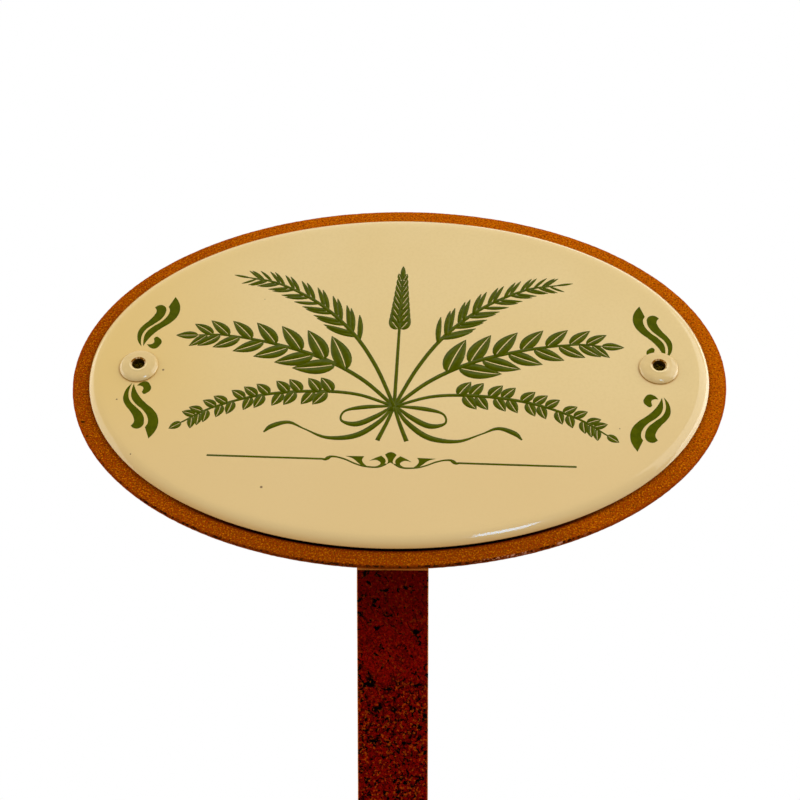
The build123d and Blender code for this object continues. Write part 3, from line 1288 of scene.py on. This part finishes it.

# %% [markdown]
# The rivets are aluminium, lacquered cream to match the enamel before they were set. The setting
# tool has chipped the lacquer inside the mouth, where brown shows. A painted highlight lies on the lip
# below the hole, the foot carries grime with painted shadow on its lower left, and the bore is painted
# dark as painted shade. The gloss is a clear coat over a matt cream, because it can then stop at the
# chips and in the bore.

# %% Cream lacquer
def make_lacquer(name):
    """The cream lacquer of one rivet, chipped round its hole, with a painted highlight on the lip below it,
    grime and painted shadow at its foot and painted shade in its bore.
    """
    finish = Finish("rivet_lacquer_" + name)
    place = finish.place(rivet_frames[name].translation)
    across, up, out = finish.axes(place)
    radius = reach(across, up)
    chips = finish.noise(place, 0.6, 4, 0.6)
    inside = radius.rises(bore_radius + 0.56, bore_radius + 0.4)
    chipped = (chips + up.rises(-0.6, 1.4) * 0.16).rises(0.54, 0.62) * inside
    foot = out.rises(sign_face + 0.26, sign_face + 0.1) * radius.rises(head_radius - 0.4, head_radius - 0.2)
    # A painted highlight on the lip below the hole.
    lip_highlight = radius.rises(bore_radius + 0.3, bore_radius + 0.5)
    lip_highlight = lip_highlight * radius.rises(bore_radius + 0.85, bore_radius + 0.6)
    bore = out.rises(head_top - 0.16, head_top - 0.28) * radius.rises(bore_radius + 0.3, bore_radius + 0.15)
    lacquer = finish.lay(
        finish.mix(finish.noise(place, 1.5, 3), paint(224, 194, 130), paint(212, 180, 114)),
        (lip_highlight * up.rises(0.8, -0.6) * 0.8, 250, 226, 168),
        # Grime at the foot all round, and painted shadow on its lower left.
        (foot * (0.15 + shade_side(across, up) * 0.65), 160, 106, 14),
        (inside * up.rises(-1.0, 0.8) * 0.6, 190, 140, 70),
        (chipped, 136, 84, 8),
        # Painted shade down the bore.
        (bore, 56, 36, 4),
    )
    relief = finish.bump(finish.noise(place, 0.9, 2) - chipped * 0.6, 0.03)
    return finish.surface(
        Base_Color=lacquer, Roughness=0.6, Normal=relief, Specular_IOR_Level=0,
        Coat_Weight=1 - chipped.larger(bore), Coat_Roughness=0.14,
    )


lacquers = {name: make_lacquer(name) for name in sides}

# %% [markdown]
# The pin was plain steel. Its torn end has browned in grains, and is too rough to shine.

# %% Broken steel
def make_pin_steel():
    """Browned steel with a duller, darker grain."""
    finish = Finish("pin_steel")
    place = finish.place()
    grain = finish.noise(place, 0.35, 4, 0.6)
    steel = finish.mix(grain.rises(0.46, 0.60), paint(16, 10, 0), paint(88, 68, 6))
    relief = finish.bump(grain, 0.08)
    roughness = 0.8 - grain * 0.2
    return finish.surface(Base_Color=steel, Roughness=roughness, Normal=relief, Specular_IOR_Level=0)


pin_steel = make_pin_steel()

# %% [markdown]
# The welds are mild steel too. Fresh beads are grey, and in the weather they rust in patches: a fine
# noise mottles the grey, and a larger one lays the rust over it.

# %% Rusting weld metal
def make_weld_metal():
    """Dark weld metal with rust in its grain."""
    finish = Finish("weld_metal")
    place = finish.place()
    grain = finish.noise(place, 0.6, 4, 0.6)
    patches = finish.noise(place, 3.0, 3)
    metal = finish.mix(grain, paint(58, 46, 40), paint(84, 70, 60))
    metal = finish.lay(metal, (patches.rises(0.38, 0.6), 124, 52, 10))
    relief = finish.bump(grain, 0.08)
    roughness = 0.5 + patches * 0.4
    return finish.surface(Base_Color=metal, Roughness=roughness, Metallic=0.4, Normal=relief)


weld_metal = make_weld_metal()

# %% [markdown]
# With pieces and finishes ready, each piece takes its materials, rides on the one body that the
# stake is, and stands in for its measured solid. The printed marks stand in for none.

# %% Handing over
hand_over(sign, "sign_plate", "enamel", cream_enamel, ground_coat)
hand_over(plate, "backing_plate", "rusted_plate", plate_rust)
hand_over(bar, "stake", "rusted_bar", bar_rust)
for name in sides:
    hand_over(rivet_bodies[name], "rivet_body_" + name, "rivet_lacquer", lacquers[name])
    hand_over(pins[name], "rivet_mandrel_" + name, "mandrel_steel", pin_steel)
for (row, side_name), bead in beads.items():
    hand_over(bead, f"weld_{row}_{side_name}", "weld_metal", weld_metal)
for marks in (corner_scrolls, rule_ornament, herb_bunch):
    hand_over(marks, None, "enamel", green_enamel)

# %% [markdown]
# The floor is a wide pale sheet at the stake's point. To the camera and in reflections it is nearly
# white, like the cleared background of a product photograph, but close to the stake it still takes a
# part of the shadow.

# %% The floor
floor_width = 30
floor = new_piece(bpy.ops.mesh.primitive_plane_add, "floor", size=floor_width)
floor_finish = Finish("pale_floor")
floor_place = floor_finish.place((0, 0, 0), turn=0)
away = floor_finish.add("ShaderNodeVectorMath", {"operation": "LENGTH"}, {0: floor_place}, output="Value")
paper = floor_finish.add("ShaderNodeBsdfDiffuse", sockets={"Color": (0.42, 0.42, 0.42, 1)})
white = floor_finish.add("ShaderNodeEmission", sockets={"Color": (1, 1, 1, 1), "Strength": 1.0})
share = seen_directly(floor_finish) * (0.75 + 0.25 * away.rises(120, 560))
blended = floor_finish.add("ShaderNodeMixShader", sockets={0: share, 1: paper, 2: white})
floor_finish.add("ShaderNodeOutputMaterial", sockets={"Surface": blended})
floor.data.materials.append(floor_finish.material)

# %% [markdown]
# Light from all round fills the shadows, and its level is chosen so that a colour renders about as
# it is written. The camera and the gloss see a white surround instead, which gives enamel and metal
# something bright to mirror without lighting them more.

# %% The surround
ambient = 0.72
world = bpy.data.worlds.new("surround")
scene.world = world
world.use_nodes = True
surround = Finish("surround", world.node_tree)
strength = ambient + (1 - ambient) * seen_directly(surround)
sky = surround.add("ShaderNodeBackground", sockets={"Color": (1, 1, 1, 1), "Strength": strength})
surround.add("ShaderNodeOutputWorld", sockets={"Surface": sky})

# %% [markdown]
# A soft lamp on each side gives the form its shade, the key lamp from higher up on the right. Three
# more show only as reflections: a small bluish one, like a window, draws the streak low on the right of
# the rolled rim, and one at the right and one at the rear edge the rim with light. Each lamp is placed
# by its direction from the sign's middle, its distance and its size.

# %% Lamps
def add_lamp(name, azimuth, elevation, distance, size, power, only_gloss=False, color=(1, 1, 1)):
    """An area lamp that looks at the middle of the sign; azimuth 0 is in front, 90 to the right.

    With only_gloss it shows as a reflection and adds no light to a matt surface."""
    side, height = radians(azimuth), radians(elevation)
    way = Vector((sin(side) * cos(height), -cos(side) * cos(height), sin(height)))
    bpy.ops.object.light_add(type="AREA", location=plate_origin + way * distance)
    lamp = bpy.context.object
    lamp.name = name
    lamp.rotation_mode = "QUATERNION"
    lamp.rotation_quaternion = way.to_track_quat("Z", "Y")
    lamp.data.shape = "RECTANGLE"
    lamp.data.size, lamp.data.size_y = size
    lamp.data.energy = power
    lamp.data.color = color
    lamp.visible_diffuse = not only_gloss
    print(name, "of", power, "W")


daylight = (0.28, 0.6, 1.0)
add_lamp("key_lamp", 80, 40, 1.3, (1.2, 1.2), 9.0)
add_lamp("left_lamp", -97, 10, 1.3, (1.4, 1.2), 9.6)
add_lamp("streak_lamp", 16.5, 22.4, 1.0, (0.175, 0.28), 2.33, only_gloss=True, color=daylight)
add_lamp("right_rim_lamp", 110, 8, 1.2, (2.0, 0.8), 20.0, only_gloss=True)
add_lamp("rear_rim_lamp", 156, 22, 1.2, (0.7, 0.6), 2.0, only_gloss=True)
